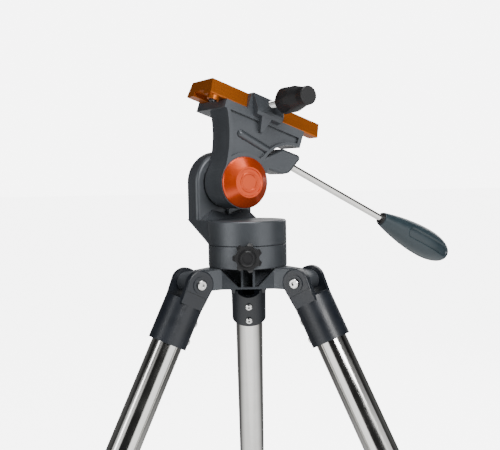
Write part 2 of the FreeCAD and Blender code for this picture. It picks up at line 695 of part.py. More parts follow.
def add_jaw(body):
    """Jaw in front of the bar, sloped in front and slanted at its left; the clamp screw goes through it."""
    gap = d["face_gap"]
    front, high = d["jaw_front"], d["jaw_high"]
    foot = d["plate_low"] + d["jaw_foot"]
    corners = [(d["head_front"] + 2, foot - 5), (front + 2, foot - 3), (front, foot),
               (front, foot + 3), (front + d["jaw_slope"], high),
               (flank_at(high, d["bar_front"] - gap, 1), high),
               (flank_at(d["plate_high"], d["bar_front"] - gap, 1), d["plate_high"]),
               (d["head_front"] + 2, d["plate_high"])]
    pad_between(body, "YZ_Plane", corners, d["jaw_left"], d["jaw_right"])
    ends = (on_plane("x", d["jaw_left"]), on_plane("x", d["jaw_right"]))
    rounded(body, 1.8, lambda edge: any(end(edge) for end in ends)
            and edge.BoundBox.YMin < number(d["head_front"]) - 1)
    left = d["jaw_left"]
    slant = [(left - 1, d["plate_low"]), (left + d["jaw_slant"], d["plate_low"]), (left, high + 1),
             (left - 1, high + 1)]
    pocket(body, outline(body, "XZ_Plane", slant, 1 - front), d["head_front"] - front + 0.9)


def make_bush():
    body = new_body("altitude_bush")
    turn(body, rectangle(d["axle_radius"] + d["run_gap"], d["bush_radius"], 0,
                         d["head_back"] - d["nut_pocket_floor"] - 0.2))
    body.Placement = across(HEAD, d["head_back"].number - 0.1)
    return body


def make_cap():
    """Round cap over the axle nut: short skirt, cone and raised rings."""
    body = new_body("altitude_cap")
    radius, ring, top = d["cap_radius"], d["cap_ring"], d["cap_height"]
    sunk = top - 0.9
    turn(body, [
        (0, 4), (d["nut_pocket"] - 2, 4), (d["nut_pocket"] - 2, -3),
        (d["nut_pocket"] - 0.15, -3), (d["nut_pocket"] - 0.15, 0), (radius, 0),
        (radius, 1.4), (radius - 0.8, 2.4), (ring + 1.2, top - 0.9),
        (ring, top), (ring - 1.6, top), (ring - 2.2, sunk), (ring * 0.66, sunk), (ring * 0.62, top - 0.3),
        (ring * 0.54, top - 0.3), (ring * 0.5, sunk), (0, sunk)])
    body.Placement = across(HEAD, d["head_front"].number)
    return body


def make_bar():
    """Dovetail bar: wide face down on the saddle, a channel below, a stop boss and two tapped holes."""
    body = new_body("dovetail_bar")
    low, high = d["bar_low"], d["bar_high"]
    front, back, flank = d["bar_front"], d["bar_back"], d["bar_flank"]
    pad_between(body, "YZ_Plane", [
        (front, low), (d["channel_front"], low), (d["channel_front"], low + d["channel_depth"]),
        (d["channel_back"], low + d["channel_depth"]), (d["channel_back"], low), (back, low),
        (back, low + d["bar_foot"]), (back - flank, high), (front + flank, high),
        (front, low + d["bar_foot"])],
        d["bar_left"], d["bar_right"])
    stop = circle(body, "XY_Plane", d["stop_place"], front + d["stop_radius"] + 0.6, d["stop_radius"], low)
    pad(body, stop, d["stop_drop"], back=True)
    middle = (front + back) / 2
    for side in (-1, 1):
        place = side * d["tap_spacing"] / 2
        pocket(body, circle(body, "XY_Plane", place, middle, d["tap_radius"], high), high - low)
    stop_hole = Placement(Vector(d["stop_place"].number, (front + d["stop_radius"] + 0.6).number,
                                 (low - d["stop_drop"]).number - 1), Rotation())
    bore(body, d["stop_screw_radius"], 9, stop_hole)
    rounded(body, 0.8, lambda edge: (on_plane("z", high)(edge) or on_plane("z", low)(edge))
            and edge.Length > 100)
    body.Placement = HEAD
    return body


def make_stop_screw():
    """Small socket screw in the bar's stop boss, head down."""
    body = new_body("bar_stop_screw")
    head = d["stop_radius"] * 0.62
    turn(body, [(0, 0), (head, 0), (head, 2),
                (d["stop_screw_radius"] - d["slip_gap"], 2),
                (d["stop_screw_radius"] - d["slip_gap"], 9), (0, 9)])
    pocket(body, outline(body, "XY_Plane", hexagon(3)), 1.4, back=True)
    place = Vector(d["stop_place"].number, (d["bar_front"] + d["stop_radius"] + 0.6).number,
                   (d["bar_low"] - d["stop_drop"]).number - 2.02)
    body.Placement = HEAD.multiply(Placement(place, Rotation()))
    return body


# ---------------------------------------------------------------- dovetail clamp and pan handle

def clamp_place(out):
    """On the clamp screw's line, out millimetres in front of the bar's flank; own Z points outwards."""
    lean = Rotation(X_AXIS, 90 - d["clamp_tilt"].number)
    start = Vector(d["clamp_place"].number, d["bar_front"].number, d["clamp_height"].number)
    return Placement(start + lean.multVec(Vector(0, 0, out)), lean)


def make_clamp_stud():
    body = new_body("clamp_stud")
    turn(body, rectangle(0, d["clamp_stud_radius"], -0.8, d["clamp_start"] + 12))
    body.Placement = HEAD.multiply(clamp_place(0))
    return body


def make_clamp_knob():
    """Six-lobed clamp knob that narrows to a round end."""
    body = new_body("clamp_knob")
    radius, length = d["clamp_radius"], d["clamp_length"]
    hole = d["clamp_stud_radius"] + d["slip_gap"]
    turn(body, [
        (hole, 0), (radius * 0.56, 0), (radius * 0.66, length * 0.03), (radius * 0.97, length * 0.19),
        (radius, length * 0.24), (radius, length * 0.36), (radius * 0.95, length * 0.46),
        (radius * 0.68, length * 0.8), (radius * 0.66, length - 1.2), (radius * 0.6, length), (0, length),
        (0, 12.2), (hole, 12.2)])
    scallop = pocket(body, circle(body, "XY_Plane", radius * 1.8, 0, radius * 0.95), length * 0.78, back=True)
    around(body, [scallop], 6)
    body.Placement = HEAD.multiply(clamp_place(d["clamp_start"].number))
    return body


def rod_place(along):
    """On the pan handle's axis, along millimetres past the lug; own Z points to the grip."""
    slope = math.radians(d["rod_slope"].number)
    start = Vector(d["rod_along"].number, d["rod_depth"].number, d["rod_height"].number)
    way = Vector(math.cos(slope), 0, -math.sin(slope))
    return Placement(start + way * along, Rotation(Y_AXIS, 90 + d["rod_slope"].number))


def make_rod():
    body = new_body("handle_rod")
    start = -d["rod_buried"] + 0.5
    turn(body, rectangle(0, d["rod_radius"], start, d["rod_length"] + 40))
    body.Placement = HEAD.multiply(rod_place(0))
    return body


def make_ferrule():
    """Dark socket ring where the rod goes into the grip."""
    body = new_body("handle_ferrule")
    turn(body, rectangle(d["rod_radius"] + d["slip_gap"], d["grip_neck"] - 1.2, d["rod_length"] - 2,
                         d["rod_length"] + 5))
    body.Placement = HEAD.multiply(rod_place(0))
    return body


def make_grip():
    """Drop-shaped grip, widest past its middle."""
    body = new_body("handle_grip")
    neck, wide, length, start = d["grip_neck"], d["grip_radius"], d["grip_length"], d["rod_length"]
    hole = d["rod_radius"] + d["slip_gap"]
    tail = length * 0.68
    end_wide, end_high = wide * 0.62, length * 0.045
    end_round = (end_wide * end_wide + end_high * end_high) / (end_high * 2)
    tip = end_round - root(end_round * end_round - 1)
    turn(body, [
        (hole, start + 5), (neck - 1.1, start + 5), (neck - 1.1, start), (neck, start, length, 1),
        (wide, start + tail, wide * 1.6, 1), (end_wide, start + length - end_high, end_round, 1),
        (1, start + length - tip), (0, start + length - tip), (0, start + 41), (hole, start + 41)])
    body.Placement = HEAD.multiply(rod_place(0))
    return body


# ---------------------------------------------------------------- legs

def make_bracket(name, place):
    """Leg bracket: a fork on the pivot that runs down into a round socket for the tube."""
    body = new_body(f"{name}_bracket")
    fork, ear, foot = d["fork_half"], d["ear_radius"], d["ear_foot"]
    end = -d["bracket_length"]
    pad(body, outline(body, "YZ_Plane", [(d["ear_narrow"], foot), (ear, 0, ear, 1), (0, ear, ear, 1),
                                         (-ear, 0), (-d["ear_narrow"], foot)]), fork * 2, both=True)
    rounded(body, 1.6, lambda edge: (on_plane("x", fork)(edge) or on_plane("x", -fork)(edge))
            and edge.BoundBox.ZMax > foot.number + 1)
    pad(body, circle(body, "XY_Plane", 0, 0, d["barrel_radius"], end), d["barrel_top"] - end)
    ridge_high, ridge_low = d["barrel_radius"] * 0.78, d["barrel_radius"] * 0.72
    wide_high, wide_low = d["ear_narrow"] - 0.3, d["barrel_radius"] * 0.66
    loft(body, [outline(body, "XY_Plane", rectangle(-ridge_low, ridge_low, -wide_low, wide_low), end + 0.8),
                outline(body, "XY_Plane", rectangle(-ridge_high, ridge_high, -wide_high, wide_high),
                        foot + 1)])
    gap = rectangle(-d["fork_gap"], d["fork_gap"], d["barrel_top"] + 2.5, ear + 2)
    pocket(body, outline(body, "XZ_Plane", gap), ear * 4, both=True)
    bore(body, d["tube_radius"] + d["slip_gap"], d["bracket_length"] - d["tube_start"] + 1,
         Placement(Vector(0, 0, end.number - 1), Rotation()))
    bore(body, d["bolt_radius"] + d["run_gap"], fork * 2 + 2,
         Placement(Vector(-fork.number - 1, 0, 0), Rotation(Y_AXIS, 90)))
    add_ear_details(body)
    for depth in (d["screw_high"], d["screw_low"]):
        bore(body, 2.1, 8,
             Placement(Vector(0, -13, -depth.number), Rotation(X_AXIS, 90)))
    body.Placement = place
    return body


def add_ear_details(body):
    """Raised washer face and sunk foot on each ear, and the notch on the bracket's inner side."""
    fork = d["fork_half"]
    ring_out, ring_in = d["bolt_head_radius"] + 3.6, d["bolt_head_radius"] + 1
    for side in (-1, 1):
        face = new_sketch(body, "YZ_Plane", side * (fork - 0.2))
        draw_circle(face, 0, 0, ring_out)
        draw_circle(face, 0, 0, ring_in)
        pad(body, face, 1.2, back=side < 0)
        half = d["ear_radius"] - 2
        sunk = rectangle(-half, half, d["ear_foot"] - 2, -ring_out - 2)
        pocket(body, outline(body, "YZ_Plane", sunk, side * fork), 1.3, back=side < 0)
    notch = outline(body, "XZ_Plane", [
        (-d["fork_gap"] + 2, -21.5, 24, 1),
        (d["fork_gap"] - 2, -21.5), (d["fork_gap"] - 2, -14),
        (-d["fork_gap"] + 2, -14)], 6)
    pocket(body, notch, 20, back=True)


def make_bracket_screws(name, place):
    """Two socket screws through the inner side of the bracket into the tube."""
    screws = []
    for depth in (d["screw_high"], d["screw_low"]):
        screw = new_body(f"{name}_screw")
        turn(screw, [(0, 0), (1.9, 0),
                     (1.9, 3.4), (4, 3.4),
                     (4, 4.8), (3, 5.8),
                     (0, 5.8)])
        pocket(screw, outline(screw, "XY_Plane", hexagon(2.5), 5.8),
               1.8)
        inner = Placement(Vector(0, -d["barrel_radius"].number + 3.3, -depth.number), TOWARDS_CAMERA)
        screw.Placement = place.multiply(inner)
        screws.append(screw)
    return group(f"{name}_screws", screws)


def make_tube(label, radius, start, end, place):
    """Thin round tube from start to end down the leg."""
    body = new_body(label)
    turn(body, rectangle(radius - d["tube_wall"], radius, -end, -start))
    body.Placement = place
    return body


def make_collar(name, place):
    """Clamp collar on the end of the upper tube, with a boss for its knob."""
    body = new_body(f"{name}_collar")
    outer, top, bottom = d["collar_radius"], -d["collar_start"], -d["collar_end"]
    wide, narrow = d["tube_radius"] + d["slip_gap"], d["inner_radius"] + d["run_gap"]
    turn(body, [
        (narrow, bottom), (outer - 2.5, bottom), (outer - 1, bottom + 1.5), (outer, bottom + 22),
        (outer, bottom + 26), (outer - 1.6, bottom + 28), (outer - 2.4, top - 1), (outer - 3.2, top),
        (wide, top), (wide, -d["tube_end"] - 0.1), (narrow, -d["tube_end"] - 0.1)])
    boss = pad(body, circle(body, "XZ_Plane", 0, -d["knob_place"], 8.5, -(outer - 3)),
               9, back=True)
    body.Tip = boss
    bore(body, 3 + d["run_gap"], 30,
         Placement(Vector(0, d["inner_radius"].number - 1, -d["knob_place"].number), Rotation(X_AXIS, -90)))
    body.Placement = place
    return body


def make_leg_knob(name, place):
    """Small clamp knob with its screw, on the outside of the collar."""
    out = d["collar_radius"].number + 6.5
    outwards = Rotation(X_AXIS, -90)
    knob = new_body(f"{name}_knob")
    radius = d["knob_radius"]
    turn(knob, [(3.03, 0), (radius * 0.6, 0), (radius - 0.8, 3),
                (radius, 4.5), (radius, 10.5), (radius - 1.5, 12.5),
                (0, 12.5), (0, 8), (3.03, 8)])
    scallop = pocket(knob, circle(knob, "XY_Plane", radius + 1.3, 0, radius * 0.32), 13, back=True)
    around(knob, [scallop], 6)
    knob.Placement = place.multiply(Placement(Vector(0, out, -d["knob_place"].number), outwards))
    screw = new_body(f"{name}_knob_screw")
    turn(screw, rectangle(0, 3, d["inner_radius"] + 0.3, out + 7.9))
    screw.Placement = place.multiply(Placement(Vector(0, 0, -d["knob_place"].number), outwards))
    return [knob, screw]


def make_foot(name, place):
    """Rubber foot on the end of the inner tube, cut level where it meets the floor."""
    body = new_body(f"{name}_foot")
    ball, centre, top = d["foot_ball"], -d["leg_length"], -d["foot_top"]
    socket = d["inner_radius"] + d["slip_gap"]
    tip = ball - root(ball * ball - 0.25)
    turn(body, [
        (0, centre - ball + tip), (0.5, centre - ball + tip, ball, 1), (ball, centre),
        (ball, centre + 6), (ball - 1.6, centre + 8),
        (ball - 1.6, top), (socket, top), (socket, centre + 4), (0, centre + 4)])
    slope = d["leg_tilt"]
    reach = 40.0
    level = centre * cosine(slope) - ball + d["sole_cut"]
    rise, run = sine(slope), cosine(slope)
    corners = []
    for side, drop in ((-1, 0), (1, 0), (1, 1), (-1, 1)):
        flat = centre * (-1) * rise + side * reach
        height = level - drop * reach
        corners.append((flat * run + height * rise, height * run - flat * rise))
    pocket(body, outline(body, "YZ_Plane", corners), 60, both=True)
    body.Placement = place
    return body


def make_pivot_pin(label, sleeve):
    """Half of a leg pivot: a round socket head, with either the pin or the short sleeve nut."""
    body = new_body(label)
    head, fork = d["bolt_head_radius"], d["fork_half"]
    end = fork - 6 if sleeve else -(fork - 6.3)
    inner = d["bolt_radius"]
    turn(body, [(0, end), (inner, end), (inner, fork + 0.1), (head, fork + 0.1),
                (head, fork + 2.8), (head - 0.8, fork + 3.6), (0, fork + 3.6)])
    pocket(body, outline(body, "XY_Plane", hexagon(4.2), fork + 3.6), 2.2)
    return body


def make_pivots():
    """The three leg pivots: the pins share one node and the sleeve nuts another."""
    pins, nuts = [], []
    for angle in LEG_ANGLES:
        turned = leg_place(angle)
        pin = make_pivot_pin("pivot_pin", sleeve=False)
        pin.Placement = turned.multiply(Placement(Vector(), Rotation(Y_AXIS, 90)))
        nut = make_pivot_pin("pivot_nut", sleeve=True)
        nut.Placement = turned.multiply(Placement(Vector(), Rotation(Y_AXIS, -90)))
        pins.append(pin)
        nuts.append(nut)
    return [group("leg_pivot_pins", pins), group("leg_pivot_nuts", nuts)]


def make_leg(index, angle):
    name = f"leg_{index}"
    place = leg_place(angle)
    upper = make_tube(f"{name}_upper_tube", d["tube_radius"], d["tube_start"] + 0.5, d["tube_end"], place)
    inner = make_tube(f"{name}_inner_tube", d["inner_radius"], d["inner_start"],
                      d["leg_length"] - 4.2, place)
    return [make_bracket(name, place), make_bracket_screws(name, place), upper, inner,
            make_collar(name, place), make_foot(name, place), *make_leg_knob(name, place)]


# ---------------------------------------------------------------- assembly

parts = [make_tripod_hub(), make_bearing_ring(), make_lock_knob(), make_lock_stud(), make_spindle(),
         make_spindle_washer(), make_yoke(), make_axle(), make_friction_washer(), make_axle_washer(),
         make_head(), make_bush(), make_cap(), make_bar(), make_stop_screw(), make_clamp_stud(),
         make_clamp_knob(), make_rod(), make_ferrule(), make_grip()]
parts.append(make_nut("azimuth_nut", d["nut_width"], d["nut_thick"], d["spindle_end_radius"] + d["slip_gap"],
                      YOKE.multiply(Placement(Vector(0, 0, d["nut_floor"].number - 2 - d["nut_thick"].number),
                                              Rotation()))))
parts.append(make_nut("altitude_nut", d["nut_width"], d["nut_thick"], d["axle_radius"] + d["slip_gap"],
                      across(AXLE, d["nut_pocket_floor"].number - 1.7)))
parts += make_pivots()
for leg_index, leg_angle in enumerate(LEG_ANGLES, start=1):
    parts += make_leg(leg_index, leg_angle)

doc.recompute()
for item in doc.Objects:
    if "Invalid" in item.State or "Error" in item.State:
        raise RuntimeError(f"{item.Label} is {item.State}")
os.makedirs("parts", exist_ok=True)
for part in parts:
    if part.Shape.isNull() or not part.Shape.isValid():
        raise RuntimeError(f"{part.Label} has no valid shape")
    part.Shape.exportStep(f"parts/{part.Label}.step")
print(f"{len(parts)} sub-parts, leg pivots {pivot_height.number:.2f} mm above the floor")
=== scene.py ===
import json
import math

import bpy
from mathutils import Matrix, Vector


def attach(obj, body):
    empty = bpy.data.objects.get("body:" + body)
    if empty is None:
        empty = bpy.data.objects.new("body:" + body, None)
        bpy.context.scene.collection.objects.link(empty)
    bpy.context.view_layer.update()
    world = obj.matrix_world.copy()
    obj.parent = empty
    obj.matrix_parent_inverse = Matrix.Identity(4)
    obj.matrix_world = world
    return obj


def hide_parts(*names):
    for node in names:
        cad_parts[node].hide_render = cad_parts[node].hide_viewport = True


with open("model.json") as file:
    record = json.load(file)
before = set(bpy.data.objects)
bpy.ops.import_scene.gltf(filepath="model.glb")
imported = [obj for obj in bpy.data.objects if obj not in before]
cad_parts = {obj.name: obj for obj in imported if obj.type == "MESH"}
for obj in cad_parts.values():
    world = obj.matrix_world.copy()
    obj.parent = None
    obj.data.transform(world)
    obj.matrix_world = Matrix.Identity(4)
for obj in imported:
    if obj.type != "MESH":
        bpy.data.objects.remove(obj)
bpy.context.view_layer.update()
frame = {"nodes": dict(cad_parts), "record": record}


# ---------------------------------------------------------------- places

# Leg from its pivot to the centre of the foot's ball and that centre's height in metres, lean in degrees
LEG_LENGTH, FOOT_RISE, LEG_LEAN = 0.604, 0.0155, 26.6
PIVOT_HEIGHT = LEG_LENGTH * math.cos(math.radians(LEG_LEAN)) + FOOT_RISE
# Altitude axis above the leg pivots in metres, turn of the yoke and tilt of the head in degrees
AXIS_RISE, YOKE_TURN, HEAD_TILT = 0.1012, 30, 19


def millimetres(x, y, z):
    return Matrix.Translation((x / 1000, y / 1000, z / 1000))


def turned(axis, degrees):
    return Matrix.Rotation(math.radians(degrees), 4, axis)


HEAD = (Matrix.Translation((0, 0, PIVOT_HEIGHT + AXIS_RISE))
        @ turned("Z", YOKE_TURN) @ turned("Y", HEAD_TILT))


# ---------------------------------------------------------------- materials

class Nodes:
    """A new material's node tree, with short calls to add and join nodes."""

    def __init__(self, name):
        self.material = bpy.data.materials.new(name)
        self.material.use_nodes = True
        self.tree = self.material.node_tree
        self.shader = self.tree.nodes["Principled BSDF"]

    def add(self, kind, inputs=None, **settings):
        node = self.tree.nodes.new(kind)
        for name, value in settings.items():
            setattr(node, name, value)
        for name, value in (inputs or {}).items():
            self.give(node.inputs[name], value)
        return node

    def give(self, socket, value):
        """Joins an output to the socket, or sets the socket's own value."""
        if isinstance(value, bpy.types.NodeSocket):
            self.tree.links.new(value, socket)
        else:
            socket.default_value = value

    def set(self, **inputs):
        for name, value in inputs.items():
            self.give(self.shader.inputs[name.replace("_", " ")], value)

    def place(self):
        return self.add("ShaderNodeTexCoord").outputs["Object"]

    def noise(self, scale, detail, stretch=None):
        """Noise over the object's own coordinates; stretch is a (rotation, scale) pair for grain."""
        place = self.place()
        if stretch:
            turn, sizes = stretch
            place = self.add("ShaderNodeMapping", {"Vector": place, "Rotation": turn, "Scale": sizes},
                             vector_type="TEXTURE").outputs["Vector"]
        return self.add("ShaderNodeTexNoise", {
            "Vector": place, "Scale": scale, "Detail": detail}).outputs["Fac"]

    def ramp(self, value, *stops):
        """A colour ramp with (position, colour) stops."""
        node = self.add("ShaderNodeValToRGB", {"Fac": value})
        elements = node.color_ramp.elements
        while len(elements) < len(stops):
            elements.new(0.5)
        for element, (position, colour) in zip(elements, stops):
            element.position = position
            element.color = (*colour, 1.0)
        return node.outputs["Color"]

    def between(self, value, low, high, start=0.3, end=0.7):
        node = self.add("ShaderNodeMapRange", {
            "Value": value, "From Min": start, "From Max": end, "To Min": low, "To Max": high})
        return node.outputs["Result"]

    def bump(self, height, strength, depth):
        return self.add("ShaderNodeBump", {
            "Height": height, "Strength": strength, "Distance": depth}).outputs["Normal"]


def cast_paint():
    """Satin grey-blue paint with the fine pebble of a powder coat."""
    nodes = Nodes("cast_paint")
    patches = nodes.noise(38.0, 3.0)
    pebble = nodes.noise(1500.0, 2.0)
    nodes.set(
        Base_Color=nodes.ramp(patches, (0.3, (0.060, 0.067, 0.076)), (0.7, (0.078, 0.086, 0.096))),
        Roughness=nodes.between(patches, 0.34, 0.44), Metallic=0.35, Specular_IOR_Level=0.6,
        Normal=nodes.bump(pebble, 0.28, 0.0002))
    return nodes.material


def fine_plastic(name, dark, light, smooth, rough, grain=900.0, strength=0.2):
    """Moulded plastic or rubber with a fine grain."""
    nodes = Nodes(name)
    patches = nodes.noise(55.0, 3.0)
    pebble = nodes.noise(grain, 3.0)
    nodes.set(
        Base_Color=nodes.ramp(patches, (0.3, dark), (0.7, light)),
        Roughness=nodes.between(patches, smooth, rough),
        Normal=nodes.bump(pebble, strength, 0.00025))
    return nodes.material


def satin_enamel(name, dark, light):
    """Metallic paint with a soft gloss and slight orange peel."""
    nodes = Nodes(name)
    patches = nodes.noise(60.0, 3.0)
    peel = nodes.noise(900.0, 2.0)
    nodes.set(
        Base_Color=nodes.ramp(patches, (0.3, dark), (0.7, light)), Metallic=0.62,
        Roughness=nodes.between(patches, 0.28, 0.36), Coat_Weight=0.25, Coat_Roughness=0.2,
        Normal=nodes.bump(peel, 0.10, 0.0001))
    return nodes.material


def brushed(name, dark, light, smooth, rough, turn=(0, 0, 0), metallic=1.0):
    """Metal with a faint drawn grain along the rotated X axis."""
    nodes = Nodes(name)
    grain = nodes.noise(60.0, 6.0, (turn, (6.0, 0.05, 0.05)))
    cloud = nodes.noise(24.0, 2.0)
    nodes.set(
        Base_Color=nodes.ramp(grain, (0.3, dark), (0.7, light)), Metallic=metallic,
        Roughness=nodes.between(cloud, smooth, rough),
        Normal=nodes.bump(grain, 0.025, 0.0001))
    return nodes.material


def polished(name, tint, smooth, rough):
    """Bright plated metal with faint clouding."""
    nodes = Nodes(name)
    cloud = nodes.noise(45.0, 5.0)
    fine = nodes.noise(700.0, 3.0)
    shade = tuple(0.93 * value for value in tint)
    nodes.set(
        Base_Color=nodes.ramp(cloud, (0.3, shade), (0.7, tint)), Metallic=1.0,
        Roughness=nodes.between(cloud, smooth, rough), Normal=nodes.bump(fine, 0.02, 0.0001))
    return nodes.material


BAR_TURN = (0, math.radians(HEAD_TILT), math.radians(YOKE_TURN))
MATERIALS = {
    "casting": cast_paint(),
    "bracket": fine_plastic(
        "bracket_plastic", (0.007, 0.009, 0.013), (0.012, 0.015, 0.021), 0.30, 0.40),
    "knob": fine_plastic(
        "knob_plastic", (0.005, 0.005, 0.006), (0.009, 0.009, 0.010), 0.44, 0.56, 900.0, 0.08),
    "cap": satin_enamel("cap_enamel", (0.60, 0.054, 0.005), (0.70, 0.075, 0.009)),
    "bar": brushed(
        "orange_anodising", (0.36, 0.085, 0.004), (0.44, 0.110, 0.007), 0.34, 0.42, BAR_TURN, 0.65),
    "tube": polished("chromed_tube", (0.80, 0.79, 0.76), 0.10, 0.16),
    "steel": polished("plated_steel", (0.72, 0.72, 0.71), 0.20, 0.28),
    "dark_steel": polished("black_oxide", (0.05, 0.05, 0.055), 0.35, 0.45),
    "bearing": fine_plastic(
        "bearing_polymer", (0.010, 0.010, 0.011), (0.016, 0.016, 0.018), 0.25, 0.35),
    "bush": brushed("bush_bronze", (0.52, 0.34, 0.13), (0.62, 0.42, 0.18), 0.25, 0.35),
    "foot": fine_plastic(
        "foot_rubber", (0.011, 0.011, 0.011), (0.018, 0.018, 0.018), 0.62, 0.78, 1100.0, 0.35),
    "grip": fine_plastic(
        "grip_rubber", (0.020, 0.034, 0.042), (0.029, 0.047, 0.057), 0.30, 0.40, 1200.0, 0.15),
}
SLOTS = {row["node"]: row["material_slot"] for row in frame["record"]["subparts"]}


def paint(obj, slot):
    obj.data.materials.clear()
    obj.data.materials.append(MATERIALS[slot])


for name, node in frame["nodes"].items():
    paint(node, SLOTS[name])


# ---------------------------------------------------------------- pieces made here

def new_piece(name, points, faces, slot, body, place, smooth=True):
    mesh = bpy.data.meshes.new(name)
    mesh.from_pydata([place @ Vector(point) for point in points], [], faces)
    mesh.validate()
    if smooth:
        mesh.shade_smooth()
    piece = bpy.data.objects.new(name, mesh)
    bpy.context.scene.collection.objects.link(piece)
    mesh.materials.append(MATERIALS[slot])
    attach(piece, body)
    return piece


def lathe(name, profile, slot, body, place, smooth, sides=48):
    """Turns (radius, height) points about the place's Z axis; a radius of 0 closes an end."""
    points, faces, rings = [], [], []
    for radius, height in profile:
        if radius == 0:
            rings.append([len(points)])
            points.append((0, 0, height))
            continue
        rings.append(list(range(len(points), len(points) + sides)))
        points += [(radius * math.cos(2 * math.pi * side / sides),
                    radius * math.sin(2 * math.pi * side / sides), height) for side in range(sides)]
    for low, high in zip(rings, rings[1:]):
        for side in range(sides):
            following = (side + 1) % sides
            if len(low) == 1:
                faces.append((low[0], high[following], high[side]))
            elif len(high) == 1:
                faces.append((low[side], low[following], high[0]))
            else:
                faces.append((low[side], low[following], high[following], high[side]))
    return new_piece(name, points, faces, slot, body, place, smooth)


def thread_profile(start, end, radius, pitch, depth):
    """Radius and height points of a V thread drawn as rings."""
    profile = [(0, start), (radius - depth, start)]
    height = start + pitch / 2
    while height < end - pitch / 2:
        profile += [(radius, height), (radius - depth, height + pitch / 2)]
        height += pitch
    return profile + [(radius - depth, end), (0, end)]


# ---------------------------------------------------------------- clamp screw with its thread

CLAMP = HEAD @ millimetres(4, 6.8, 88.2) @ turned("X", 87)
thread = thread_profile(start=-0.0008, end=0.0390, radius=0.0040, pitch=0.00125, depth=0.0006)
clamp_screw = lathe("clamp_screw_threaded", thread, "steel", "clamp", CLAMP, smooth=False)
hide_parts("clamp_stud")


# ---------------------------------------------------------------- grip with a sunk pad on each side

GRIP_START, GRIP_LENGTH, GRIP_RADIUS, GRIP_NECK = 0.1375, 0.1150, 0.0182, 0.0082
# Shares of the grip's length, and how full its outline is before and after the widest place
WIDEST, PADS_FROM = 0.64, 0.2
FULL_BEFORE, FULL_AFTER = 0.9, 0.84
# Rings along the grip, points in each, and the share of a half turn that spaces the rings
ROWS, SIDES, RING_SWEEP = 190, 168, 0.995
HANDLE = HEAD @ millimetres(69.9, 22.5, 37.5) @ turned("Y", 97.3)
PAD_START, PAD_END, PAD_HALF, PAD_DEPTH, PAD_EDGE = 0.36, 0.86, 0.0066, 0.0019, 0.0011


def grip_radius(share):
    """Radius of the drop-shaped grip at a share of its length."""
    if share < WIDEST:
        rise = math.sin(math.pi / 2 * share / WIDEST) ** FULL_BEFORE
        return GRIP_NECK + (GRIP_RADIUS - GRIP_NECK) * rise
    return GRIP_RADIUS * math.sqrt(max(1 - ((share - WIDEST) / (1 - WIDEST)) ** 2, 0)) ** FULL_AFTER


def sink_pad(point):
    """Sinks a long round-ended pad into each side that faces along Y."""
    across, deep, along = point
    low, high = (GRIP_START + share * GRIP_LENGTH for share in (PAD_START, PAD_END))
    away = math.hypot(across, along - min(max(along, low), high))
    share = min(max((PAD_HALF - away) / PAD_EDGE, 0), 1)
    sink = PAD_DEPTH * share * share * (3 - 2 * share)
    return (across, deep - math.copysign(sink, deep), along)


def make_grip():
    points, faces = [], []
    for row in range(ROWS):
        share = (1 - math.cos(math.pi * (row / ROWS) * RING_SWEEP)) / 2
        radius = grip_radius(share)
        for side in range(SIDES):
            angle = 2 * math.pi * side / SIDES
            point = (radius * math.cos(angle), radius * math.sin(angle), GRIP_START + share * GRIP_LENGTH)
            points.append(sink_pad(point) if share > PADS_FROM else point)
    points += [(0, 0, GRIP_START), (0, 0, GRIP_START + GRIP_LENGTH)]
    for row in range(ROWS - 1):
        for side in range(SIDES):
            following = (side + 1) % SIDES
            faces.append((row * SIDES + side, row * SIDES + following,
                          (row + 1) * SIDES + following, (row + 1) * SIDES + side))
    last = (ROWS - 1) * SIDES
    for side in range(SIDES):
        following = (side + 1) % SIDES
        faces.append((ROWS * SIDES, following, side))
        faces.append((last + side, last + following, ROWS * SIDES + 1))
    grip = new_piece("grip_with_pads", points, faces, "grip", "handle", HANDLE)
    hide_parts("handle_grip")


make_grip()


# ---------------------------------------------------------------- softened edges

# Width of the round on each piece, in metres
EDGE_ROUNDS = {"tripod_hub": 0.0006, "yoke": 0.0006, "altitude_head": 0.0006, "dovetail_bar": 0.0004,
               "azimuth_lock_knob": 0.0006, "clamp_knob": 0.0006}
for leg in (1, 2, 3):
    EDGE_ROUNDS[f"leg_{leg}_bracket"] = 0.0005


def soften(name, width):
    """A small round on the sharp edges of a casting or moulding."""
    node = frame["nodes"][name]
    bevel = node.modifiers.new("edge_round", "BEVEL")
    bevel.width = width
    bevel.segments = 2
    bevel.limit_method = "ANGLE"
    bevel.angle_limit = math.radians(38)
    bevel.harden_normals = False


for name, width in EDGE_ROUNDS.items():
    soften(name, width)


# ---------------------------------------------------------------- studio

def flat_panel(name, width, height, place, material):
    half_width, half_height = width / 2, height / 2
    mesh = bpy.data.meshes.new(name)
    mesh.from_pydata([(-half_width, -half_height, 0), (half_width, -half_height, 0),
                      (half_width, half_height, 0), (-half_width, half_height, 0)], [], [(0, 1, 2, 3)])
    mesh.materials.append(material)
    panel = bpy.data.objects.new(name, mesh)
    panel.matrix_world = place
    bpy.context.scene.collection.objects.link(panel)
    return panel


def facing(position, target):
    """A place whose own -Z looks from the position to the target."""
    way = Vector(target) - Vector(position)
    return Matrix.Translation(position) @ way.to_track_quat("-Z", "Y").to_matrix().to_4x4()


def softbox(name, position, target, width, height, power):
    light = bpy.data.lights.new(name, "AREA")
    light.shape = "RECTANGLE"
    light.size, light.size_y = width, height
    light.energy = power
    lamp = bpy.data.objects.new(name, light)
    lamp.matrix_world = facing(position, target)
    lamp.visible_camera = False
    bpy.context.scene.collection.objects.link(lamp)


def map_range(tree, *values):
    """A node that carries a value from one range to another: from low, from high, to low, to high."""
    node = tree.nodes.new("ShaderNodeMapRange")
    for socket, value in zip(("From Min", "From Max", "To Min", "To Max"), values):
        node.inputs[socket].default_value = value
    return node


